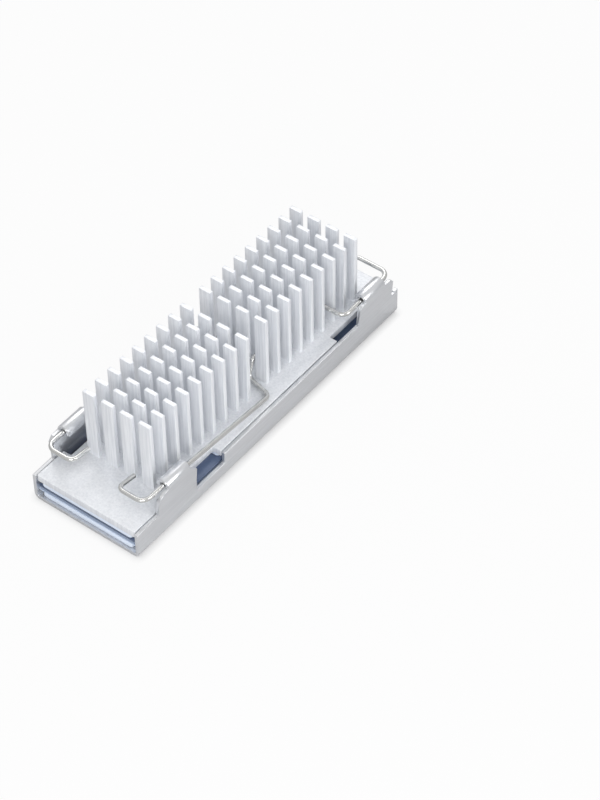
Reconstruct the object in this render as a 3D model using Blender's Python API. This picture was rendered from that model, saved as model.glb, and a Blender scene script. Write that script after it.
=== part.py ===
"""Heat sink for a small plug-in solid state drive.

A finned aluminium block lies on the drive, a folded sheet tray runs under it, and two spring wire
clips hook under the tray's curled lips and press the block down. Lengths are in metres, +Z is up,
+Y runs from the drive's connector end to its far end, and the origin is under the tray's middle.
"""

import math

import bmesh
import bpy
from mathutils import Vector

# Folded tray
TRAY_LENGTH = 0.0760
TRAY_WIDTH = 0.0240
SHEET = 0.0007
BEND_INNER_RADIUS = 0.0005
BEND_STEPS = 4
WALL_STEP_DOWN = 0.0002
PRONG_LENGTH = 0.0010
PRONG_RISE = 0.0003

# Ears of the tray's right side and their curled lips; the left side is the same, turned end for end
EAR_RISE = 0.0048
EAR_LEAN = 0.0004
FRONT_EAR_INSET = 0.00585
FRONT_EAR_LENGTH = 0.0104
FRONT_EAR_RADIUS = 0.0023
FRONT_EAR_SLOPE_DROP = 0.0016
FRONT_LIP_INSET = 0.00265
FRONT_LIP_END_INSET = 0.0019
REAR_EAR_INSET = 0.0019
REAR_EAR_LENGTH = 0.01025
REAR_EAR_RADIUS = 0.0009
REAR_EAR_CHAMFER = 0.0009
REAR_LIP_INSET = 0.0026
REAR_LIP_START_INSET = 0.00175
LIP_CLEARANCE = 0.00025
LIP_TAIL = 0.0003
LIP_STEPS = 12

# Cut-outs in the tray walls and in the base plate's edges
WINDOW_LENGTH = 0.0078
WINDOW_SILL = 0.0033
WINDOW_RADIUS = 0.0004
WINDOW_NOTCH_DEPTH = 0.0018
LIP_NOTCH_MARGIN = 0.0003
LIP_NOTCH_DEPTH = 0.0017
REAR_NOTCH_LEAD = 0.0056
NOTCH_RADIUS = 0.0003

# Slot: pads with a film on each, and the gap for the drive between the films
PAD_CLEARANCE = 0.00015
LOWER_PAD_THICKNESS = 0.00135
UPPER_PAD_THICKNESS = 0.0009
LINER_THICKNESS = 0.0002
DRIVE_GAP = 0.0007
PAD_SIDE_MARGIN = 0.0010
LINER_SIDE_MARGIN = 0.0003
PAD_END_MARGIN = 0.0003

# Finned block
BASE_THICKNESS = 0.00135
BASE_SIDE_CLEARANCE = 0.0002
BASE_END_MARGIN = 0.0002
BASE_CORNER_RADIUS = 0.0003
FIN_WIDTH = 0.00255
FIN_THICKNESS = 0.00085
FIN_HEIGHT = 0.0154
FIN_SINK = 0.0004
COLUMN_COUNT = 4
COLUMN_PITCH = 0.00417
ROW_PITCH = 0.00332
BLOCK_GAP = 0.00546
FIELD_SHIFT = 0.00161
FIELD_END_MARGIN = 0.0068

# Spring wire clips
WIRE_DIAMETER = 0.0009
WIRE_REST_CLEARANCE = 0.0002
FRONT_LOOP_INSET = 0.0033
FRONT_LOOP_REACH = 0.0058
REAR_LOOP_INSET = 0.0016
REAR_LOOP_REACH = 0.0080
LOOP_RISE = 0.0002
LOOP_TAIL = 0.0045
LOOP_TAIL_DROP = 0.0007
LOOP_RADIUS = 0.0013
SHOULDER_RADIUS = 0.0018
REAR_RISE_RADIUS = 0.0030
ARM_INSET = 0.0009
ARM_RADIUS = 0.0070
CROSSING_SHIFT = 0.0005
CROSSING_SKEW = 0.0007
CROSSING_RADIUS = 0.0016
RISER_RUN = 0.0014
RISER_RADIUS = 0.0012
EXIT_LEAD = 0.0025
EXIT_DROP = 0.0003
EXIT_RADIUS = 0.0013
WIRE_BEND_STEPS = 7
WIRE_SIDES_STEP = 4

# Heights that follow from the stack in the slot
LOWER_PAD_BOTTOM = SHEET + PAD_CLEARANCE
LOWER_LINER_BOTTOM = LOWER_PAD_BOTTOM + LOWER_PAD_THICKNESS + PAD_CLEARANCE
UPPER_LINER_BOTTOM = LOWER_LINER_BOTTOM + LINER_THICKNESS + DRIVE_GAP
UPPER_PAD_BOTTOM = UPPER_LINER_BOTTOM + LINER_THICKNESS + PAD_CLEARANCE
BASE_BOTTOM = UPPER_PAD_BOTTOM + UPPER_PAD_THICKNESS + PAD_CLEARANCE
BASE_TOP = BASE_BOTTOM + BASE_THICKNESS
WALL_TOP = BASE_TOP - WALL_STEP_DOWN
LIP_CENTRE_HEIGHT = WALL_TOP + EAR_RISE

# Widths that follow from the tray and the wire
INNER_HALF_WIDTH = TRAY_WIDTH / 2 - SHEET
BASE_HALF_WIDTH = INNER_HALF_WIDTH - BASE_SIDE_CLEARANCE
LIP_INNER_RADIUS = WIRE_DIAMETER / 2 + LIP_CLEARANCE
LIP_CENTRE_X = INNER_HALF_WIDTH + EAR_LEAN - LIP_INNER_RADIUS

# Places along the tray, in world Y
FRONT_END = -TRAY_LENGTH / 2
REAR_END = TRAY_LENGTH / 2
FRONT_EAR_START = FRONT_END + FRONT_EAR_INSET
FRONT_EAR_END = FRONT_EAR_START + FRONT_EAR_LENGTH
FRONT_LIP_START = FRONT_EAR_START + FRONT_LIP_INSET
FRONT_LIP_END = FRONT_EAR_END - FRONT_LIP_END_INSET
WINDOW_END = FRONT_EAR_END + WINDOW_LENGTH
REAR_EAR_END = REAR_END - REAR_EAR_INSET
REAR_EAR_START = REAR_EAR_END - REAR_EAR_LENGTH
REAR_LIP_END = REAR_EAR_END - REAR_LIP_INSET
REAR_LIP_START = REAR_EAR_START + REAR_LIP_START_INSET
FIELD_CENTRE = FIELD_SHIFT


def turned(y):
    """Place along the tray after a half turn about the middle of the fin field."""
    return 2 * FIELD_CENTRE - y


def rounded(corners, steps=4):
    """Closed outline with its corners rounded; each corner is (u, v, radius)."""
    points = []
    count = len(corners)
    for index, (u, v, radius) in enumerate(corners):
        corner = Vector((u, v))
        if radius <= 0:
            points.append(corner)
            continue
        before = (Vector(corners[index - 1][:2]) - corner).normalized()
        after = (Vector(corners[(index + 1) % count][:2]) - corner).normalized()
        half = before.angle(after) / 2
        reach = radius / math.tan(half)
        centre = corner + (before + after).normalized() * (radius / math.sin(half))
        start = corner + before * reach - centre
        end = corner + after * reach - centre
        turn = math.atan2(start.x * end.y - start.y * end.x, start.dot(end))
        for step in range(steps + 1):
            angle = turn * step / steps
            swept = Vector((
                start.x * math.cos(angle) - start.y * math.sin(angle),
                start.x * math.sin(angle) + start.y * math.cos(angle),
            ))
            points.append(centre + swept)
    return points


def new_object(name, mesh, material):
    """Link a mesh to the scene as a named object with one material."""
    obj = bpy.data.objects.new(name, mesh)
    mesh.materials.append(material)
    bpy.context.scene.collection.objects.link(obj)
    return obj


def mesh_from(bm, name):
    """Turn a bmesh into a mesh with its faces pointing out."""
    bmesh.ops.recalc_face_normals(bm, faces=bm.faces)
    mesh = bpy.data.meshes.new(name)
    bm.to_mesh(mesh)
    bm.free()
    return mesh


def shade(obj, degrees=30):
    """Smooth the round faces and keep the real edges sharp."""
    obj.data.shade_smooth()
    obj.data.set_sharp_from_angle(angle=math.radians(degrees))


def surface(name, colour, roughness, metallic=0.0):
    """Principled material with the colour, roughness and metallic value of one piece."""
    material = bpy.data.materials.new(name)
    material.use_nodes = True
    shader = material.node_tree.nodes["Principled BSDF"]
    shader.inputs["Base Color"].default_value = (*colour, 1.0)
    shader.inputs["Roughness"].default_value = roughness
    shader.inputs["Metallic"].default_value = metallic
    return material


def plate(bm, outline, bottom, top):
    """Add an upright plate over a closed outline in X and Y."""
    low = [bm.verts.new((u, v, bottom)) for u, v in outline]
    face = bm.faces.new(low)
    grown = bmesh.ops.extrude_face_region(bm, geom=[face], use_keep_orig=True)
    raised = [item for item in grown["geom"] if isinstance(item, bmesh.types.BMVert)]
    bmesh.ops.translate(bm, verts=raised, vec=(0, 0, top - bottom))


def sheet_stations():
    """Stations across half of the sheet as (run, outer point, inner point) in X and Z."""
    bend_outer = BEND_INNER_RADIUS + SHEET
    flat = TRAY_WIDTH / 2 - bend_outer
    lip_outer = LIP_INNER_RADIUS + SHEET
    half = TRAY_WIDTH / 2
    stations = [(0.0, (0.0, 0.0), (0.0, SHEET))]
    run = flat
    for step in range(BEND_STEPS + 1):
        angle = math.pi / 2 * step / BEND_STEPS
        across, down = math.sin(angle), math.cos(angle)
        outer = (flat + bend_outer * across, bend_outer - bend_outer * down)
        inner = (flat + BEND_INNER_RADIUS * across, bend_outer - BEND_INNER_RADIUS * down)
        stations.append((run + bend_outer * angle, outer, inner))
    run = stations[-1][0] + WALL_TOP - bend_outer
    stations.append((run, (half, WALL_TOP), (INNER_HALF_WIDTH, WALL_TOP)))
    run += EAR_RISE
    for step in range(LIP_STEPS + 1):
        angle = math.pi * step / LIP_STEPS
        across, rise = math.cos(angle), math.sin(angle)
        outer = (LIP_CENTRE_X + lip_outer * across, LIP_CENTRE_HEIGHT + lip_outer * rise)
        inner = (
            LIP_CENTRE_X + LIP_INNER_RADIUS * across,
            LIP_CENTRE_HEIGHT + LIP_INNER_RADIUS * rise,
        )
        stations.append((run + lip_outer * angle, outer, inner))
    run, outer, inner = stations[-1]
    tail_outer = (outer[0], outer[1] - LIP_TAIL)
    tail_inner = (inner[0], inner[1] - LIP_TAIL)
    stations.append((run + LIP_TAIL, tail_outer, tail_inner))
    return stations


def side_edges(stations):
    """Edges of the flat blank, right side from front to rear and left side from rear to front."""
    top = stations[BEND_STEPS + 2][0]
    sill = top - (WALL_TOP - WINDOW_SILL)
    shoulder = top + EAR_RISE
    tip = stations[-1][0]
    ears = [
        (FRONT_EAR_START, top, 0),
        (FRONT_EAR_START, shoulder, FRONT_EAR_RADIUS),
        (FRONT_LIP_START, shoulder, 0),
        (FRONT_LIP_START, tip, 0),
        (FRONT_LIP_END, tip, 0),
        (FRONT_LIP_END, shoulder, 0),
        (FRONT_EAR_END, shoulder - FRONT_EAR_SLOPE_DROP, 0),
        (FRONT_EAR_END, sill, WINDOW_RADIUS),
        (WINDOW_END, sill, WINDOW_RADIUS),
        (WINDOW_END, top, 0),
        (REAR_EAR_START, top, 0),
        (REAR_EAR_START, shoulder, REAR_EAR_RADIUS),
        (REAR_LIP_START, shoulder, 0),
        (REAR_LIP_START, tip, 0),
        (REAR_LIP_END, tip, 0),
        (REAR_LIP_END, shoulder, 0),
        (REAR_EAR_END - REAR_EAR_CHAMFER, shoulder, 0),
        (REAR_EAR_END, shoulder - REAR_EAR_CHAMFER, 0),
        (REAR_EAR_END, top, 0),
    ]
    prong = [
        (REAR_END - PRONG_LENGTH, top, 0),
        (REAR_END - PRONG_LENGTH, top + PRONG_RISE, 0),
        (REAR_END, top + PRONG_RISE, 0),
    ]
    right = [(FRONT_END, 0, 0), (FRONT_END, top, 0)] + ears + prong + [(REAR_END, 0, 0)]
    other = [(turned(y), run, radius) for y, run, radius in ears]
    left = [(REAR_END, 0, 0)] + prong[::-1] + other + [(FRONT_END, top, 0), (FRONT_END, 0, 0)]
    return rounded(right)[1:-1], rounded(left)[1:-1]


def fold(run, stations, inside):
    """Point of the folded sheet for a run across the flat blank."""
    side = 2 if inside else 1
    size = abs(run)
    last = len(stations) - 1
    index = 1
    while index < last and stations[index][0] < size:
        index += 1
    low, high = stations[index - 1], stations[index]
    share = (size - low[0]) / (high[0] - low[0])
    x = low[side][0] + (high[side][0] - low[side][0]) * share
    z = low[side][1] + (high[side][1] - low[side][1]) * share
    return math.copysign(x, run), z


def make_tray(material):
    """Cut the flat blank, score it at every bend line, then fold it to its thickness."""
    stations = sheet_stations()
    right, left = side_edges(stations)
    outline = [(run, y) for y, run in right] + [(-run, y) for y, run in left]
    blank = bmesh.new()
    blank.faces.new([blank.verts.new((run, y, 0)) for run, y in outline])
    for run, _, _ in stations[1:-1]:
        for side in (-1, 1):
            everything = blank.verts[:] + blank.edges[:] + blank.faces[:]
            bmesh.ops.bisect_plane(
                blank, geom=everything, dist=1e-7, plane_co=(side * run, 0, 0), plane_no=(1, 0, 0)
            )
    bm = bmesh.new()
    skins = {}
    for vert in blank.verts:
        for inside in (False, True):
            x, z = fold(vert.co.x, stations, inside)
            skins[vert, inside] = bm.verts.new((x, vert.co.y, z))
    for face in blank.faces:
        bm.faces.new([skins[vert, False] for vert in face.verts])
        bm.faces.new([skins[vert, True] for vert in reversed(face.verts)])
    for line in blank.edges:
        if line.is_boundary:
            first, second = line.verts
            bm.faces.new([
                skins[first, False], skins[second, False], skins[second, True], skins[first, True]
            ])
    blank.free()
    tray = new_object("clip_tray", mesh_from(bm, "clip_tray"), material)
    shade(tray)
    return tray


def row_places():
    """World Y of the fin rows, counted from the middle of the field to the rear end."""
    room = REAR_END - FIELD_CENTRE - FIELD_END_MARGIN - BLOCK_GAP / 2
    count = int(room / ROW_PITCH) + 1
    return [FIELD_CENTRE + BLOCK_GAP / 2 + row * ROW_PITCH for row in range(count)]


def column_places():
    """World X of every fin column."""
    half = (COLUMN_COUNT - 1) / 2
    return [(column - half) * COLUMN_PITCH for column in range(COLUMN_COUNT)]


def base_outline():
    """Outline of the base plate with the notches in both long edges."""
    front = FRONT_END + BASE_END_MARGIN
    rear = REAR_END - BASE_END_MARGIN
    margin = LIP_NOTCH_MARGIN
    notches = [
        (FRONT_LIP_START - margin, FRONT_LIP_END + margin, LIP_NOTCH_DEPTH),
        (FRONT_EAR_END, WINDOW_END, WINDOW_NOTCH_DEPTH),
        (REAR_EAR_START - REAR_NOTCH_LEAD, REAR_LIP_END + margin, LIP_NOTCH_DEPTH),
    ]
    edge = []
    for start, end, depth in notches:
        floor = BASE_HALF_WIDTH - depth
        edge.append((BASE_HALF_WIDTH, start, 0))
        edge.append((floor, start, NOTCH_RADIUS))
        edge.append((floor, end, NOTCH_RADIUS))
        edge.append((BASE_HALF_WIDTH, end, 0))
    corners = [(BASE_HALF_WIDTH, front, BASE_CORNER_RADIUS)] + edge
    corners.append((BASE_HALF_WIDTH, rear, BASE_CORNER_RADIUS))
    corners.append((-BASE_HALF_WIDTH, rear, BASE_CORNER_RADIUS))
    corners += [(-x, turned(y), radius) for x, y, radius in edge]
    corners.append((-BASE_HALF_WIDTH, front, BASE_CORNER_RADIUS))
    return rounded(corners)


def make_heatsink(material):
    """Base plate with the fins united to it."""
    bm = bmesh.new()
    plate(bm, base_outline(), BASE_BOTTOM, BASE_TOP)
    block = new_object("fin_heatsink", mesh_from(bm, "fin_heatsink"), material)
    bm = bmesh.new()
    for x in column_places():
        for y in row_places() + [turned(row) for row in row_places()]:
            left, right = x - FIN_WIDTH / 2, x + FIN_WIDTH / 2
            near, far = y - FIN_THICKNESS / 2, y + FIN_THICKNESS / 2
            outline = [(left, near), (right, near), (right, far), (left, far)]
            plate(bm, outline, BASE_TOP - FIN_SINK, BASE_TOP + FIN_HEIGHT)
    fins = new_object("fin_tool", mesh_from(bm, "fin_tool"), material)
    fins.hide_render = True
    fins.display_type = "WIRE"
    union = block.modifiers.new("fins", "BOOLEAN")
    union.operation = "UNION"
    union.solver = "EXACT"
    union.object = fins
    return block


def make_slab(name, side_margin, bottom, thickness, material):
    """Flat pad or film that lies in the tray, clear of its walls."""
    half = INNER_HALF_WIDTH - side_margin
    front = FRONT_END + PAD_END_MARGIN
    rear = REAR_END - PAD_END_MARGIN
    bm = bmesh.new()
    plate(bm, [(-half, front), (half, front), (half, rear), (-half, rear)], bottom, bottom + thickness)
    return new_object(name, mesh_from(bm, name), material)


def bent_wire(corners, steps):
    """Points along a wire bent at each corner; a corner is (place, bend radius)."""
    points = [Vector(corners[0][0])]
    for index in range(1, len(corners) - 1):
        corner = Vector(corners[index][0])
        radius = corners[index][1]
        before = (Vector(corners[index - 1][0]) - corner).normalized()
        after = (Vector(corners[index + 1][0]) - corner).normalized()
        half = before.angle(after) / 2
        reach = radius / math.tan(half)
        centre = corner + (before + after).normalized() * (radius / math.sin(half))
        start = corner + before * reach - centre
        end = corner + after * reach - centre
        sweep = start.angle(end)
        bend_steps = max(2, math.ceil(steps * sweep / (math.pi / 2)))
        for step in range(bend_steps + 1):
            angle = sweep * step / bend_steps
            swept = start * math.sin(sweep - angle) + end * math.sin(angle)
            points.append(centre + swept / math.sin(sweep))
    points.append(Vector(corners[-1][0]))
    return points


def exit_place():
    """World Y where the wire leaves the fins: the last gap between rows ahead of the rear ear."""
    gaps = [row + ROW_PITCH / 2 for row in row_places()]
    return [gap for gap in gaps if gap < REAR_EAR_START - EXIT_LEAD][-1]


def clip_corners(side):
    """Corners of one clip's wire, from its front loop to its rear loop; side is 1 or -1."""
    loop_height = LIP_CENTRE_HEIGHT + LOOP_RISE
    tail_height = loop_height - LOOP_TAIL_DROP
    exit_height = LIP_CENTRE_HEIGHT - EXIT_DROP
    rest = BASE_TOP + WIRE_DIAMETER / 2 + WIRE_REST_CLEARANCE
    front_x = LIP_CENTRE_X - FRONT_LOOP_REACH
    rear_x = LIP_CENTRE_X - REAR_LOOP_REACH
    arm_x = LIP_CENTRE_X - ARM_INSET
    channel = (column_places()[-1] + column_places()[-2]) / 2
    crossing = FIELD_CENTRE + CROSSING_SHIFT
    front = FRONT_END + FRONT_LOOP_INSET
    rear = REAR_END - REAR_LOOP_INSET
    front_lip = (FRONT_LIP_START + FRONT_LIP_END) / 2
    corners = [
        ((front_x, front + LOOP_TAIL, tail_height), 0),
        ((front_x, front, loop_height), LOOP_RADIUS),
        ((LIP_CENTRE_X, front, loop_height), SHOULDER_RADIUS),
        ((LIP_CENTRE_X, front_lip, LIP_CENTRE_HEIGHT), ARM_RADIUS),
        ((arm_x, crossing - CROSSING_SKEW, rest), CROSSING_RADIUS),
        ((channel, crossing + CROSSING_SKEW, rest), RISER_RADIUS),
        ((channel, crossing + CROSSING_SKEW + RISER_RUN, exit_height), RISER_RADIUS),
        ((channel, exit_place(), exit_height), EXIT_RADIUS),
        ((LIP_CENTRE_X, exit_place(), exit_height), CROSSING_RADIUS),
        ((LIP_CENTRE_X, REAR_LIP_END, LIP_CENTRE_HEIGHT), REAR_RISE_RADIUS),
        ((LIP_CENTRE_X, rear, loop_height), SHOULDER_RADIUS),
        ((rear_x, rear, loop_height), LOOP_RADIUS),
        ((rear_x, rear - LOOP_TAIL, tail_height), 0),
    ]
    return [((side * x, y, z), radius) for (x, y, z), radius in corners]


def make_clip(name, side, material):
    """Spring wire clip on the right or, as its mirror image, on the left."""
    curve = bpy.data.curves.new(name, "CURVE")
    curve.dimensions = "3D"
    curve.bevel_depth = WIRE_DIAMETER / 2
    curve.bevel_resolution = WIRE_SIDES_STEP
    curve.use_fill_caps = True
    curve.materials.append(material)
    spline = curve.splines.new("POLY")
    points = bent_wire(clip_corners(side), WIRE_BEND_STEPS)
    spline.points.add(len(points) - 1)
    for slot, point in zip(spline.points, points):
        slot.co = (*point, 1.0)
    spline.use_smooth = True
    clip = bpy.data.objects.new(name, curve)
    bpy.context.scene.collection.objects.link(clip)
    return clip


def main():
    """Build every piece of the heat sink."""
    for obj in list(bpy.data.objects):
        bpy.data.objects.remove(obj, do_unlink=True)
    block_metal = surface("block_aluminium", (0.86, 0.87, 0.89), 0.34, 1.0)
    sheet_metal = surface("sheet_aluminium", (0.80, 0.81, 0.84), 0.30, 1.0)
    wire_metal = surface("spring_steel", (0.72, 0.72, 0.71), 0.18, 1.0)
    pad_rubber = surface("thermal_pad", (0.60, 0.68, 0.82), 0.75)
    film = surface("liner_film", (0.50, 0.60, 0.80), 0.35)
    make_heatsink(block_metal)
    make_tray(sheet_metal)
    make_slab("lower_pad", PAD_SIDE_MARGIN, LOWER_PAD_BOTTOM, LOWER_PAD_THICKNESS, pad_rubber)
    make_slab("lower_liner", LINER_SIDE_MARGIN, LOWER_LINER_BOTTOM, LINER_THICKNESS, film)
    make_slab("upper_liner", LINER_SIDE_MARGIN, UPPER_LINER_BOTTOM, LINER_THICKNESS, film)
    make_slab("upper_pad", PAD_SIDE_MARGIN, UPPER_PAD_BOTTOM, UPPER_PAD_THICKNESS, pad_rubber)
    make_clip("right_clip", 1, wire_metal)
    make_clip("left_clip", -1, wire_metal)


if __name__ == "__main__":
    main()
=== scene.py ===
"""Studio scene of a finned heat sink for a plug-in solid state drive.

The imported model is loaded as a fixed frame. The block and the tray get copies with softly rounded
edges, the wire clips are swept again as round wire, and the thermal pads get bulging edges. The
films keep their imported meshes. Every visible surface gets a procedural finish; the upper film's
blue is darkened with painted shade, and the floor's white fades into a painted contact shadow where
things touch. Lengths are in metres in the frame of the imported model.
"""

from __future__ import annotations

import logging
import math
from dataclasses import dataclass, field, replace
from enum import Enum

import bmesh
import bpy
from mathutils import Matrix, Vector


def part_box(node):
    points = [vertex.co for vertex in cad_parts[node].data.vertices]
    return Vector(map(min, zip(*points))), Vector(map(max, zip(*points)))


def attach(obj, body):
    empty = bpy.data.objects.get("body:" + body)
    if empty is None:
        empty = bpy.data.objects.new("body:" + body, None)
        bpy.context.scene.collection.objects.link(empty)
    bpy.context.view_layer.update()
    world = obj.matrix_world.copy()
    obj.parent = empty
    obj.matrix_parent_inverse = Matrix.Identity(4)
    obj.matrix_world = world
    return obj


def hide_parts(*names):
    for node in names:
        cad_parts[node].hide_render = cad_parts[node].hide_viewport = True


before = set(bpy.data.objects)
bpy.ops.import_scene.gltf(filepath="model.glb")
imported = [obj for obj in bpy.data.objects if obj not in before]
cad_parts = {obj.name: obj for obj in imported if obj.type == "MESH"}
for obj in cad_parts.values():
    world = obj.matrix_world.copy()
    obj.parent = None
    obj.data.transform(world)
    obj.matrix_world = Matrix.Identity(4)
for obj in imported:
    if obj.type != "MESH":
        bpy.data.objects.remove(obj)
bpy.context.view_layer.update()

log = logging.getLogger("heat_sink")

Colour = tuple[float, float, float]
Place = tuple[float, float, float]
Span = tuple[float, float]

BLOCK_EDGE_RADIUS = 0.00006
SHEET_EDGE_RADIUS = 0.00008
UPPER_PAD_BULGE = 0.0001
# Y spans of the notches that the upper pad has on its right, below those of the base plate.
PLATE_NOTCHES: tuple[Span, ...] = ((-0.0300, -0.0137), (0.0200, 0.0340))
LAMP_TARGET: Place = (0.0, 0.0, 0.01)


class GrainAxis(Enum):
    """Scale of the grain texture that makes its fine lines run along one direction."""

    ALONG = (1.0, 0.035, 1.0)
    UPRIGHT = (1.0, 1.0, 0.035)


class Side(Enum):
    """Side of the part that a wire clip is on, as the sign of its X."""

    RIGHT = 1
    LEFT = -1


class ShaderSheet:
    """Small helper that places and links nodes in one node tree."""

    def __init__(self, tree: bpy.types.NodeTree) -> None:
        """Keep the tree that the nodes go into."""
        self.tree = tree
        self.column = 0

    def add(
        self, kind: str, values: dict[str, object] | None = None, **settings: object
    ) -> bpy.types.Node:
        """Add a node, then set its properties and the values of its inputs.

        Args:
            kind: Blender's type name of the node.
            values: input names and their values.
            **settings: properties of the node and their values.

        Returns:
            The new node.
        """
        node = self.tree.nodes.new(kind)
        self.column += 1
        node.location = (self.column * 190.0, -40.0 * (self.column % 5))
        for key, value in settings.items():
            setattr(node, key, value)
        for label, value in (values or {}).items():
            node.inputs[label].default_value = value
        return node

    def link(self, source: bpy.types.NodeSocket, target: bpy.types.NodeSocket) -> None:
        """Link one socket to another."""
        self.tree.links.new(source, target)

    def calculate(
        self, operation: str, one: bpy.types.NodeSocket, two: bpy.types.NodeSocket | float
    ) -> bpy.types.NodeSocket:
        """Combine a socket with another socket or with a number.

        Args:
            operation: Blender's name of the sum.
            one: first socket.
            two: second socket, or a number.

        Returns:
            The socket with the result.
        """
        node = self.add("ShaderNodeMath", operation=operation)
        self.link(one, node.inputs[0])
        if isinstance(two, float):
            node.inputs[1].default_value = two
        else:
            self.link(two, node.inputs[1])
        return node.outputs["Value"]

    def mix_value(
        self, low: float, high: float, factor: bpy.types.NodeSocket
    ) -> bpy.types.NodeSocket:
        """Map a factor from 0 to 1 onto a range.

        Args:
            low: result where the factor is 0.
            high: result where the factor is 1.
            factor: socket with the factor.

        Returns:
            The socket with the mapped value.
        """
        node = self.add("ShaderNodeMapRange", {"To Min": low, "To Max": high})
        self.link(factor, node.inputs["Value"])
        return node.outputs["Result"]

    def mix_colour(
        self, dark: Colour, light: Colour, factor: bpy.types.NodeSocket
    ) -> bpy.types.NodeSocket:
        """Blend from one colour to another.

        Args:
            dark: colour where the factor is 0.
            light: colour where the factor is 1.
            factor: socket with the factor.

        Returns:
            The socket with the blended colour.
        """
        values = {"A": (*dark, 1.0), "B": (*light, 1.0)}
        node = self.add("ShaderNodeMix", values, data_type="RGBA")
        self.link(factor, node.inputs["Factor"])
        return node.outputs["Result"]

    def bump(
        self, height: bpy.types.NodeSocket, strength: float, depth: float
    ) -> bpy.types.NodeSocket:
        """Turn a height into a surface direction.

        Args:
            height: socket with the height, from 0 to 1.
            strength: share of the effect.
            depth: real depth of the relief.

        Returns:
            The socket with the direction.
        """
        node = self.add("ShaderNodeBump", {"Strength": strength, "Distance": depth})
        self.link(height, node.inputs["Height"])
        return node.outputs["Normal"]


def group_shell(name: str, inputs: dict[str, float], outputs: tuple[str, ...]) -> ShaderSheet:
    """Start a shader node group with its sockets.

    Args:
        name: name of the group.
        inputs: float inputs and their default values; a Vector input comes first by itself.
        outputs: names of the float outputs.

    Returns:
        A sheet on the group's tree, with its input and output nodes already placed.
    """
    tree = bpy.data.node_groups.new(name, "ShaderNodeTree")
    tree.interface.new_socket("Vector", in_out="INPUT", socket_type="NodeSocketVector")
    for label, value in inputs.items():
        socket = tree.interface.new_socket(label, in_out="INPUT", socket_type="NodeSocketFloat")
        socket.default_value = value
    for label in outputs:
        tree.interface.new_socket(label, in_out="OUTPUT", socket_type="NodeSocketFloat")
    sheet = ShaderSheet(tree)
    sheet.add("NodeGroupInput")
    sheet.add("NodeGroupOutput")
    return sheet


def make_grain_group() -> bpy.types.NodeTree:
    """Build the fine line grain that drawn, rolled and cut metal shows.

    Returns:
        The group; it puts out a tone mask, a roughness mask and a height.
    """
    sheet = group_shell(
        "metal_grain",
        {"Lines": 2600.0, "Clouds": 120.0, "Cloud Share": 0.4},
        ("Tone", "Rough", "Height"),
    )
    inside = sheet.tree.nodes["Group Input"].outputs
    outside = sheet.tree.nodes["Group Output"].inputs
    lines = sheet.add("ShaderNodeTexNoise", {"Detail": 4.0, "Roughness": 0.62})
    sheet.link(inside["Vector"], lines.inputs["Vector"])
    sheet.link(inside["Lines"], lines.inputs["Scale"])
    clouds = sheet.add("ShaderNodeTexNoise", {"Detail": 3.0})
    sheet.link(inside["Vector"], clouds.inputs["Vector"])
    sheet.link(inside["Clouds"], clouds.inputs["Scale"])
    blend = sheet.add("ShaderNodeMix", data_type="FLOAT")
    sheet.link(inside["Cloud Share"], blend.inputs["Factor"])
    sheet.link(lines.outputs["Fac"], blend.inputs["A"])
    sheet.link(clouds.outputs["Fac"], blend.inputs["B"])
    spread = sheet.add("ShaderNodeMapRange", {"From Min": 0.32, "From Max": 0.68})
    sheet.link(blend.outputs["Result"], spread.inputs["Value"])
    sheet.link(spread.outputs["Result"], outside["Tone"])
    sheet.link(clouds.outputs["Fac"], outside["Rough"])
    sheet.link(lines.outputs["Fac"], outside["Height"])
    return sheet.tree


def make_speckle_group() -> bpy.types.NodeTree:
    """Build the fine speckle of filled rubber and cast film.

    Returns:
        The group; it puts out a tone mask and a height.
    """
    sheet = group_shell("fine_speckle", {"Grains": 5200.0}, ("Tone", "Height"))
    inside = sheet.tree.nodes["Group Input"].outputs
    outside = sheet.tree.nodes["Group Output"].inputs
    grains = sheet.add("ShaderNodeTexVoronoi")
    sheet.link(inside["Vector"], grains.inputs["Vector"])
    sheet.link(inside["Grains"], grains.inputs["Scale"])
    haze = sheet.add("ShaderNodeTexNoise", {"Scale": 260.0, "Detail": 5.0})
    sheet.link(inside["Vector"], haze.inputs["Vector"])
    tone = sheet.calculate("MULTIPLY", grains.outputs["Distance"], haze.outputs["Fac"])
    sheet.link(tone, outside["Tone"])
    sheet.link(grains.outputs["Distance"], outside["Height"])
    return sheet.tree


@dataclass(frozen=True)
class MetalFinish:
    """Satin or bright metal with a fine line grain."""

    name: str
    slot: str
    dark: Colour
    light: Colour
    roughness: Span
    metallic: float
    axis: GrainAxis
    lines: float = 2600.0
    clouds: float = 120.0
    cloud_share: float = 0.4
    bump: float = 0.10
    bump_depth: float = 0.00002

    def make(self, grain: bpy.types.NodeTree) -> bpy.types.Material:
        """Build the material.

        Args:
            grain: the shared grain group.

        Returns:
            The material, ready to be placed on a piece.
        """
        material = bpy.data.materials.new(self.name)
        material.use_nodes = True
        sheet = ShaderSheet(material.node_tree)
        shader = material.node_tree.nodes["Principled BSDF"]
        shader.inputs["Metallic"].default_value = self.metallic
        place = sheet.add("ShaderNodeTexCoord")
        stretch = sheet.add("ShaderNodeMapping", {"Scale": self.axis.value})
        sheet.link(place.outputs["Object"], stretch.inputs["Vector"])
        values = {"Lines": self.lines, "Clouds": self.clouds, "Cloud Share": self.cloud_share}
        texture = sheet.add("ShaderNodeGroup", values, node_tree=grain)
        sheet.link(stretch.outputs["Vector"], texture.inputs["Vector"])
        tint = sheet.mix_colour(self.dark, self.light, texture.outputs["Tone"])
        sheet.link(tint, shader.inputs["Base Color"])
        rough = sheet.mix_value(*self.roughness, texture.outputs["Rough"])
        sheet.link(rough, shader.inputs["Roughness"])
        relief = sheet.bump(texture.outputs["Height"], self.bump, self.bump_depth)
        sheet.link(relief, shader.inputs["Normal"])
        return material


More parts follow.
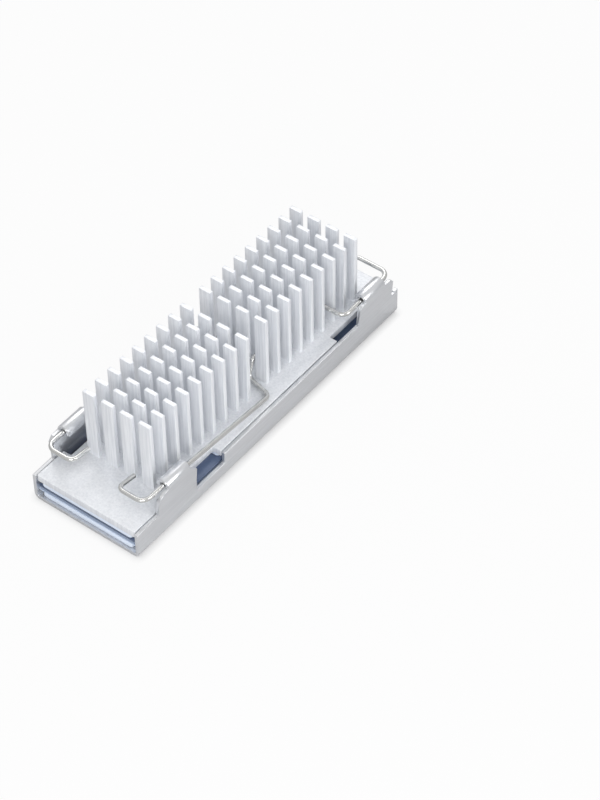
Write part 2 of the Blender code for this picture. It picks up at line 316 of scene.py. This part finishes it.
@dataclass(frozen=True)
class SoftFinish:
    """Filled silicone or thin plastic film with a fine speckle."""

    name: str
    slot: str
    dark: Colour
    light: Colour
    roughness: float
    coat: float = 0.0
    coat_roughness: float = 0.08
    grains: float = 5200.0
    bump: float = 0.25
    bump_depth: float = 0.00003

    def make(self, speckle: bpy.types.NodeTree) -> bpy.types.Material:
        """Build the material.

        Args:
            speckle: the shared speckle group.

        Returns:
            The material, ready to be placed on a piece.
        """
        material = bpy.data.materials.new(self.name)
        material.use_nodes = True
        sheet = ShaderSheet(material.node_tree)
        shader = material.node_tree.nodes["Principled BSDF"]
        shader.inputs["Roughness"].default_value = self.roughness
        shader.inputs["Coat Weight"].default_value = self.coat
        shader.inputs["Coat Roughness"].default_value = self.coat_roughness
        place = sheet.add("ShaderNodeTexCoord")
        texture = sheet.add("ShaderNodeGroup", {"Grains": self.grains}, node_tree=speckle)
        sheet.link(place.outputs["Object"], texture.inputs["Vector"])
        tint = sheet.mix_colour(self.dark, self.light, texture.outputs["Tone"])
        sheet.link(tint, shader.inputs["Base Color"])
        relief = sheet.bump(texture.outputs["Height"], self.bump, self.bump_depth)
        sheet.link(relief, shader.inputs["Normal"])
        return material


BLOCK_FINISH = MetalFinish(
    name="satin_block_metal",
    slot="block_aluminium",
    dark=(0.71, 0.73, 0.765),
    light=(0.89, 0.905, 0.93),
    roughness=(0.38, 0.50),
    metallic=0.42,
    axis=GrainAxis.UPRIGHT,
    clouds=70.0,
    cloud_share=0.15,
    bump=0.06,
)
SHEET_FINISH = MetalFinish(
    name="rolled_sheet_metal",
    slot="sheet_aluminium",
    dark=(0.67, 0.68, 0.70),
    light=(0.78, 0.79, 0.81),
    roughness=(0.24, 0.36),
    metallic=0.88,
    axis=GrainAxis.ALONG,
)
WIRE_FINISH = MetalFinish(
    name="bright_spring_wire",
    slot="spring_steel",
    dark=(0.58, 0.58, 0.57),
    light=(0.76, 0.76, 0.74),
    roughness=(0.14, 0.24),
    metallic=1.0,
    axis=GrainAxis.ALONG,
    lines=4200.0,
    clouds=300.0,
    bump=0.04,
)
PAD_FINISH = SoftFinish(
    name="filled_silicone",
    slot="lower_pad",
    dark=(0.68, 0.76, 0.89),
    light=(0.82, 0.87, 0.95),
    roughness=0.66,
)
UPPER_PAD_FINISH = replace(PAD_FINISH, name="filled_silicone_upper", slot="upper_pad")
FILM_FINISH = SoftFinish(
    name="blue_liner_film",
    slot="lower_film",
    dark=(0.54, 0.64, 0.82),
    light=(0.66, 0.75, 0.90),
    roughness=0.28,
    coat=0.35,
    bump=0.05,
)
# The upper film keeps the film's blue but is darkened with painted shade: it shows in the tray's
# side windows, which are dark, and its darker colour stands in for the shade there.
UPPER_FILM_PAINTED_SHADE_FINISH = replace(
    FILM_FINISH,
    name="blue_liner_film_upper_painted_shade",
    slot="upper_film",
    dark=(0.09, 0.125, 0.21),
    light=(0.15, 0.195, 0.30),
)


def bridge_loops(bm: bmesh.types.BMesh, loops: list[list[bmesh.types.BMVert]]) -> None:
    """Join closed loops of points into a tube and close both of its ends.

    Args:
        bm: mesh under construction.
        loops: the loops in order, all with as many points.
    """
    count = len(loops[0])
    for one, two in zip(loops, loops[1:]):
        for step in range(count):
            following = (step + 1) % count
            bm.faces.new((one[step], one[following], two[following], two[step]))
    bm.faces.new(reversed(loops[0]))
    bm.faces.new(loops[-1])


def finished_mesh(bm: bmesh.types.BMesh, name: str, sharp_angle: float) -> bpy.types.Mesh:
    """Turn a mesh under construction into a smoothly shaded one.

    Args:
        bm: mesh under construction; it is freed.
        name: name of the new mesh.
        sharp_angle: edges that bend more than this stay sharp.

    Returns:
        The new mesh.
    """
    mesh = bpy.data.meshes.new(name)
    bm.to_mesh(mesh)
    bm.free()
    mesh.shade_smooth()
    mesh.set_sharp_from_angle(angle=sharp_angle)
    return mesh


def place_piece(
    name: str, mesh: bpy.types.Mesh, material: bpy.types.Material, slot: str, *nodes: str
) -> bpy.types.Object:
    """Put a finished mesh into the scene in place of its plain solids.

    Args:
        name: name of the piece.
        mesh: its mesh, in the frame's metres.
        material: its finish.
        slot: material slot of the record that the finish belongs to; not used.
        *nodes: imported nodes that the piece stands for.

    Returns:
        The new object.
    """
    mesh.materials.clear()
    mesh.materials.append(material)
    piece = bpy.data.objects.new(name, mesh)
    bpy.context.scene.collection.objects.link(piece)
    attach(piece, "root")
    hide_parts(*nodes)
    log.info("%s: %d faces", name, len(mesh.polygons))
    return piece


def dress_film(node: str, finish: SoftFinish, speckle: bpy.types.NodeTree) -> None:
    """Give a film its finish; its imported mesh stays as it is.

    Args:
        node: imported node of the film.
        finish: the film's finish.
        speckle: the shared speckle group.
    """
    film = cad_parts[node]
    film.data.materials.clear()
    film.data.materials.append(finish.make(speckle))
    log.info("%s dressed", node)


@dataclass
class SoftEdgedMetal:
    """A sheet or block whose real edges are broken by a small radius."""

    node: str
    piece_name: str
    edge_radius: float
    segments: int = 2
    weld_distance: float = 2e-6
    flat_angle: float = math.radians(0.5)
    edge_angle: float = math.radians(28.0)
    sharp_angle: float = math.radians(50.0)

    def mesh(self) -> bpy.types.Mesh:
        """Copy the node's faces, clear their flat seams and round the edges.

        Returns:
            The mesh with rounded edges.
        """
        bm = bmesh.new()
        bm.from_mesh(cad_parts[self.node].data)
        bmesh.ops.remove_doubles(bm, verts=bm.verts, dist=self.weld_distance)
        bmesh.ops.dissolve_limit(
            bm, angle_limit=self.flat_angle, verts=bm.verts, edges=bm.edges
        )
        edges = [
            edge
            for edge in bm.edges
            if edge.is_manifold and edge.calc_face_angle(0.0) > self.edge_angle
        ]
        bmesh.ops.bevel(
            bm,
            geom=edges,
            offset=self.edge_radius,
            offset_type="OFFSET",
            segments=self.segments,
            profile=0.5,
            affect="EDGES",
            clamp_overlap=True,
        )
        return finished_mesh(bm, self.piece_name, self.sharp_angle)

    def build(self, finish: MetalFinish, grain: bpy.types.NodeTree) -> bpy.types.Object:
        """Place the piece with its finish.

        Args:
            finish: the metal finish.
            grain: the shared grain group.

        Returns:
            The placed object.
        """
        material = finish.make(grain)
        return place_piece(self.piece_name, self.mesh(), material, finish.slot, self.node)


@dataclass
class ClipWire:
    """Spring wire bent from a front loop over the plate and through the fins to a rear loop.

    Insets and reaches are measured from the tray's ends and from the wire's run under the lips.
    """

    diameter: float = 0.0009
    sheet_thickness: float = 0.0007
    lip_clearance: float = 0.00025
    front_lip_middle: float = 0.011425
    rear_lip_inset: float = 0.0045

    # The loops at both ends.
    front_loop_inset: float = 0.0033
    front_loop_reach: float = 0.0058
    rear_loop_inset: float = 0.0016
    rear_loop_reach: float = 0.0080
    loop_rise: float = 0.0002
    loop_tail: float = 0.0045
    tail_drop: float = 0.0007
    loop_radius: float = 0.0013
    shoulder_radius: float = 0.0018

    # The arm beside the front fins and the crossing between the two blocks.
    arm_inset: float = 0.0009
    arm_radius: float = 0.0070
    crossing_shift: float = 0.0005
    crossing_skew: float = 0.0007
    bend_radius: float = 0.0016
    riser_run: float = 0.0014
    riser_radius: float = 0.0012

    # The way out between two rows of the rear fins.
    exit_row: int = 6
    exit_drop: float = 0.0003
    exit_radius: float = 0.0013
    rise_radius: float = 0.0030

    # The base plate and the fins that the wire runs over and between.
    rest_clearance: float = 0.0002
    base_top: float = 0.0060
    column_pitch: float = 0.00417
    row_pitch: float = 0.00332
    field_centre: float = 0.00161
    block_gap: float = 0.00546

    # The sweep.
    sides: int = 24
    bend_steps: int = 14
    fewest_bend_steps: int = 3
    end_round_share: float = 0.22
    sharp_angle: float = math.radians(40.0)

    def corners(self, side: Side) -> list[tuple[Vector, float]]:
        """List the wire's corners with their bend radii, from front to rear.

        Args:
            side: side of the part; the left clip is the right one's mirror image.

        Returns:
            Each corner's place and bend radius.
        """
        low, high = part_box("clip_tray")
        inner_radius = self.diameter / 2 + self.lip_clearance
        lip_x = high.x - self.sheet_thickness - inner_radius
        lip_z = high.z - self.sheet_thickness - inner_radius
        loop_z = lip_z + self.loop_rise
        tail_z = loop_z - self.tail_drop
        exit_z = lip_z - self.exit_drop
        rest = self.base_top + self.diameter / 2 + self.rest_clearance
        front_x = lip_x - self.front_loop_reach
        rear_x = lip_x - self.rear_loop_reach
        arm_x = lip_x - self.arm_inset
        channel = self.column_pitch
        centre = self.field_centre
        crossing = centre + self.crossing_shift
        crossing_end = crossing + self.crossing_skew
        front = low.y + self.front_loop_inset
        rear = high.y - self.rear_loop_inset
        exit_y = centre + self.block_gap / 2 + (self.exit_row - 0.5) * self.row_pitch
        front_lip = low.y + self.front_lip_middle
        rear_lip = high.y - self.rear_lip_inset
        corners = [
            ((front_x, front + self.loop_tail, tail_z), 0.0),
            ((front_x, front, loop_z), self.loop_radius),
            ((lip_x, front, loop_z), self.shoulder_radius),
            ((lip_x, front_lip, lip_z), self.arm_radius),
            ((arm_x, crossing - self.crossing_skew, rest), self.bend_radius),
            ((channel, crossing_end, rest), self.riser_radius),
            ((channel, crossing_end + self.riser_run, exit_z), self.riser_radius),
            ((channel, exit_y, exit_z), self.exit_radius),
            ((lip_x, exit_y, exit_z), self.bend_radius),
            ((lip_x, rear_lip, lip_z), self.rise_radius),
            ((lip_x, rear, loop_z), self.shoulder_radius),
            ((rear_x, rear, loop_z), self.loop_radius),
            ((rear_x, rear - self.loop_tail, tail_z), 0.0),
        ]
        return [(Vector((side.value * x, y, z)), radius) for (x, y, z), radius in corners]

    def path(self, side: Side) -> list[Vector]:
        """Follow the corners with true arcs.

        Args:
            side: side of the part.

        Returns:
            Points along the wire's middle.
        """
        corners = self.corners(side)
        points = [corners[0][0]]
        for index in range(1, len(corners) - 1):
            corner, radius = corners[index]
            before = (corners[index - 1][0] - corner).normalized()
            after = (corners[index + 1][0] - corner).normalized()
            half = before.angle(after) / 2
            reach = radius / math.tan(half)
            centre = corner + (before + after).normalized() * (radius / math.sin(half))
            start = corner + before * reach - centre
            end = corner + after * reach - centre
            sweep = start.angle(end)
            steps = math.ceil(self.bend_steps * sweep / (math.pi / 2))
            steps = max(self.fewest_bend_steps, steps)
            for step in range(steps + 1):
                angle = sweep * step / steps
                swept = start * math.sin(sweep - angle) + end * math.sin(angle)
                points.append(centre + swept / math.sin(sweep))
        points.append(corners[-1][0])
        return points

    def stations(self, side: Side) -> list[tuple[Vector, float]]:
        """List where the wire's section stands, with slightly rounded cut ends.

        Args:
            side: side of the part.

        Returns:
            Each station's middle and radius.
        """
        points = self.path(side)
        radius = self.diameter / 2
        nip = radius * self.end_round_share
        start = (points[1] - points[0]).normalized()
        end = (points[-1] - points[-2]).normalized()
        stations = [(points[0], radius - nip), (points[0] + start * nip, radius)]
        stations += [(point, radius) for point in points[1:-1]]
        stations += [(points[-1] - end * nip, radius), (points[-1], radius - nip)]
        return stations

    def mesh(self, name: str, side: Side) -> bpy.types.Mesh:
        """Sweep a round section along the path.

        Args:
            name: name of the mesh.
            side: side of the part.

        Returns:
            The swept mesh.
        """
        stations = self.stations(side)
        bm = bmesh.new()
        previous = (stations[1][0] - stations[0][0]).normalized()
        normal = previous.orthogonal().normalized()
        rings = []
        for index, (point, radius) in enumerate(stations):
            ahead = stations[min(index + 1, len(stations) - 1)][0]
            behind = stations[max(index - 1, 0)][0]
            tangent = (ahead - behind).normalized()
            normal.rotate(previous.rotation_difference(tangent))
            previous = tangent
            up = tangent.cross(normal)
            ring = []
            for step in range(self.sides):
                angle = 2 * math.pi * step / self.sides
                offset = normal * math.cos(angle) + up * math.sin(angle)
                ring.append(bm.verts.new(point + offset * radius))
            rings.append(ring)
        bridge_loops(bm, rings)
        bmesh.ops.recalc_face_normals(bm, faces=bm.faces)
        return finished_mesh(bm, name, self.sharp_angle)

    def build(self, node: str, side: Side, material: bpy.types.Material) -> bpy.types.Object:
        """Place the wire on its side.

        Args:
            node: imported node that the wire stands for.
            side: side of the part.
            material: the bright wire finish.

        Returns:
            The placed object.
        """
        name = f"{node}_wire"
        return place_piece(name, self.mesh(name, side), material, WIRE_FINISH.slot, node)


@dataclass
class ThermalPad:
    """Soft pad that bulges a little where it is pressed between two flat faces.

    The notches are cut from the right edge, and from the left one turned about the field's centre.
    """

    node: str
    bulge: float = 0.00025
    notches: tuple[Span, ...] = ()
    notch_depth: float = 0.0018
    field_centre: float = 0.00161
    corner_radius: float = 0.0006
    corner_steps: int = 6
    rings: int = 6
    sharp_angle: float = math.radians(60.0)

    def mesh(self) -> bpy.types.Mesh:
        """Stack outlines that swell towards the middle of the pad's height.

        Returns:
            The closed pad.
        """
        low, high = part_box(self.node)
        bm = bmesh.new()
        layers = []
        for ring in range(self.rings + 1):
            share = ring / self.rings
            inset = self.bulge * (1 - math.sin(math.pi * share))
            z = low.z + (high.z - low.z) * share
            layers.append([bm.verts.new((x, y, z)) for x, y in self.outline(low, high, inset)])
        bridge_loops(bm, layers)
        return finished_mesh(bm, f"{self.node}_cushion", self.sharp_angle)

    def corners(self, low: Vector, high: Vector, inset: float) -> list[Vector]:
        """List the square corners of one outline, counter-clockwise from the right front.

        Args:
            low: lowest corner of the pad's box.
            high: highest corner of the pad's box.
            inset: how far this outline lies inside the pad's widest one.

        Returns:
            The corners in X and Y.
        """
        right, left = high.x - inset, low.x + inset
        front, rear = low.y + inset, high.y - inset
        floor = right - self.notch_depth
        edge = []
        for start, end in self.notches:
            edge += [(right, start - inset), (floor, start - inset)]
            edge += [(floor, end + inset), (right, end + inset)]
        turned = [(-x, 2 * self.field_centre - y) for x, y in edge]
        places = [(right, front), *edge, (right, rear), (left, rear), *turned, (left, front)]
        return [Vector(place) for place in places]

    def outline(self, low: Vector, high: Vector, inset: float) -> list[Vector]:
        """Round the corners of one outline.

        Args:
            low: lowest corner of the pad's box.
            high: highest corner of the pad's box.
            inset: how far this outline lies inside the pad's widest one.

        Returns:
            The outline's points in X and Y.
        """
        corners = self.corners(low, high, inset)
        points = []
        for index, corner in enumerate(corners):
            before = (corners[index - 1] - corner).normalized() * self.corner_radius
            after = (corners[(index + 1) % len(corners)] - corner).normalized()
            after *= self.corner_radius
            for step in range(self.corner_steps + 1):
                angle = math.pi / 2 * step / self.corner_steps
                inward = before * (1 - math.sin(angle)) + after * (1 - math.cos(angle))
                points.append(corner + inward)
        return points

    def build(self, finish: SoftFinish, speckle: bpy.types.NodeTree) -> bpy.types.Object:
        """Place the pad with its finish.

        Args:
            finish: the pad's finish.
            speckle: the shared speckle group.

        Returns:
            The placed object.
        """
        mesh = self.mesh()
        piece = place_piece(mesh.name, mesh, finish.make(speckle), finish.slot, self.node)
        return piece


@dataclass(frozen=True)
class Softbox:
    """Square soft light that faces the object."""

    name: str
    place: Place
    size: float
    power: float

    def hang(self) -> bpy.types.Object:
        """Hang the light and turn it to the object.

        Returns:
            The light object.
        """
        data = bpy.data.lights.new(self.name, "AREA")
        data.shape = "SQUARE"
        data.size = self.size
        data.energy = self.power
        light = bpy.data.objects.new(self.name, data)
        light.location = self.place
        light.rotation_mode = "QUATERNION"
        facing = Vector(LAMP_TARGET) - Vector(self.place)
        light.rotation_quaternion = facing.to_track_quat("-Z", "Y")
        bpy.context.scene.collection.objects.link(light)
        return light


SOFTBOXES = (
    Softbox("back_left_softbox", (-0.30, 0.36, 0.50), size=0.40, power=0.9),
    Softbox("near_softbox", (0.14, -0.19, 0.13), size=0.12, power=0.28),
    Softbox("right_softbox", (0.40, 0.09, 0.22), size=0.20, power=0.50),
)


@dataclass
class Studio:
    """Pale floor, soft lights and the camera at the photograph's angle."""

    eye: Vector = field(default_factory=lambda: Vector((0.21928, -0.25587, 0.35378)))
    azimuth: float = math.radians(38.166)
    elevation: float = math.radians(46.423)
    roll: float = math.radians(-0.978)
    lens: float = 120.15
    sensor_width: float = 36.0
    nearest: float = 0.01

    # The floor: how much of it is plain white in the camera's eye and in mirrors, and how near
    # things a painted contact shadow fades that white.
    floor_half: float = 2.0
    floor_drop: float = 0.00002
    paper: Colour = (0.55, 0.55, 0.555)
    white_share: float = 0.94
    mirrored_share: float = 0.12
    contact_shade_reach: float = 0.0016
    contact_shade_samples: int = 8

    # The room: its colours from the horizon up, and the heights where they are reached.
    horizon: Colour = (0.46, 0.47, 0.49)
    low_sky: Colour = (0.76, 0.77, 0.79)
    low_sky_height: float = 0.22
    white_height: float = 0.55
    room_strength: float = 0.77

    def camera(self) -> bpy.types.Object:
        """Place the camera.

        Returns:
            The camera object.
        """
        a, e, r = self.azimuth, self.elevation, self.roll
        forward = Vector((-math.sin(a) * math.cos(e), math.cos(a) * math.cos(e), -math.sin(e)))
        level = Vector((math.cos(a), math.sin(a), 0.0))
        above = level.cross(forward)
        right = level * math.cos(r) + above * math.sin(r)
        up = above * math.cos(r) - level * math.sin(r)
        data = bpy.data.cameras.new("studio_camera")
        data.lens = self.lens
        data.sensor_width = self.sensor_width
        data.clip_start = self.nearest
        camera = bpy.data.objects.new("studio_camera", data)
        bpy.context.scene.collection.objects.link(camera)
        turn = Matrix((right, up, -forward)).transposed()
        camera.matrix_world = Matrix.Translation(self.eye) @ turn.to_4x4()
        bpy.context.scene.camera = camera
        return camera

    def floor_material(self) -> bpy.types.Material:
        """Make pale paper that looks white but still takes a shadow.

        Returns:
            The material: paper under a share of plain white, which fades where things touch: an
                occlusion mask paints a contact shadow there, over the paper's own real shadow.
        """
        material = bpy.data.materials.new("pale_floor")
        material.use_nodes = True
        tree = material.node_tree
        tree.nodes.clear()
        sheet = ShaderSheet(tree)
        paper = sheet.add("ShaderNodeBsdfDiffuse", {"Color": (*self.paper, 1.0)})
        white = sheet.add("ShaderNodeEmission", {"Color": (1.0, 1.0, 1.0, 1.0), "Strength": 1.0})
        ray = sheet.add("ShaderNodeLightPath").outputs
        seen = sheet.calculate("MULTIPLY", ray["Is Camera Ray"], self.white_share)
        mirrored = sheet.calculate("MAXIMUM", ray["Is Glossy Ray"], ray["Is Transmission Ray"])
        faint = sheet.calculate("MULTIPLY", mirrored, self.mirrored_share)
        either = sheet.calculate("MAXIMUM", seen, faint)
        # Painted contact shadow: the occlusion mask fades the plain white where things touch, so
        # the darker paper shows there.
        painted_contact_shade = sheet.add(
            "ShaderNodeAmbientOcclusion",
            {"Distance": self.contact_shade_reach},
            samples=self.contact_shade_samples,
        )
        share = sheet.calculate("MULTIPLY", either, painted_contact_shade.outputs["AO"])
        blend = sheet.add("ShaderNodeMixShader")
        sheet.link(share, blend.inputs["Fac"])
        sheet.link(paper.outputs["BSDF"], blend.inputs[1])
        sheet.link(white.outputs["Emission"], blend.inputs[2])
        out = sheet.add("ShaderNodeOutputMaterial")
        sheet.link(blend.outputs["Shader"], out.inputs["Surface"])
        return material

    def floor(self) -> bpy.types.Object:
        """Lay the floor just below the object.

        Returns:
            The floor object.
        """
        bm = bmesh.new()
        bmesh.ops.create_grid(bm, x_segments=4, y_segments=4, size=self.floor_half)
        bmesh.ops.translate(bm, verts=bm.verts, vec=(0.0, 0.0, -self.floor_drop))
        mesh = bpy.data.meshes.new("studio_floor")
        bm.to_mesh(mesh)
        bm.free()
        mesh.materials.append(self.floor_material())
        floor = bpy.data.objects.new("studio_floor", mesh)
        bpy.context.scene.collection.objects.link(floor)
        return floor

    def sky(self) -> None:
        """Surround the object with a soft white room that is darker near the horizon."""
        world = bpy.data.worlds.new("studio_room")
        bpy.context.scene.world = world
        world.use_nodes = True
        tree = world.node_tree
        sheet = ShaderSheet(tree)
        place = sheet.add("ShaderNodeTexCoord")
        parts = sheet.add("ShaderNodeSeparateXYZ")
        sheet.link(place.outputs["Generated"], parts.inputs["Vector"])
        ramp = sheet.add("ShaderNodeValToRGB")
        stops = ramp.color_ramp.elements
        stops[0].position = 0.0
        stops[0].color = (*self.horizon, 1.0)
        stops[1].position = self.white_height
        stops[1].color = (1.0, 1.0, 1.0, 1.0)
        stops.new(self.low_sky_height).color = (*self.low_sky, 1.0)
        sheet.link(parts.outputs["Z"], ramp.inputs["Fac"])
        background = tree.nodes["Background"]
        background.inputs["Strength"].default_value = self.room_strength
        sheet.link(ramp.outputs["Color"], background.inputs["Color"])

    def build(self) -> None:
        """Set up camera, floor, room, lights and the plain view transform."""
        self.camera()
        self.floor()
        self.sky()
        for softbox in SOFTBOXES:
            softbox.hang()
        bpy.context.scene.view_settings.view_transform = "Standard"
        log.info("studio ready")


def main() -> None:
    """Build the studio and every piece."""
    logging.basicConfig(level=logging.INFO, format="%(name)s: %(message)s")
    Studio().build()
    grain = make_grain_group()
    speckle = make_speckle_group()
    SoftEdgedMetal("fin_heatsink", "fin_block", BLOCK_EDGE_RADIUS).build(BLOCK_FINISH, grain)
    SoftEdgedMetal("clip_tray", "folded_tray", SHEET_EDGE_RADIUS).build(SHEET_FINISH, grain)
    wire_material = WIRE_FINISH.make(grain)
    wire = ClipWire()
    wire.build("right_clip", Side.RIGHT, wire_material)
    wire.build("left_clip", Side.LEFT, wire_material)
    ThermalPad("lower_pad").build(PAD_FINISH, speckle)
    upper_pad = ThermalPad("upper_pad", bulge=UPPER_PAD_BULGE, notches=PLATE_NOTCHES)
    upper_pad.build(UPPER_PAD_FINISH, speckle)
    dress_film("lower_liner", FILM_FINISH, speckle)
    dress_film("upper_liner", UPPER_FILM_PAINTED_SHADE_FINISH, speckle)


if __name__ == "__main__":
    main()
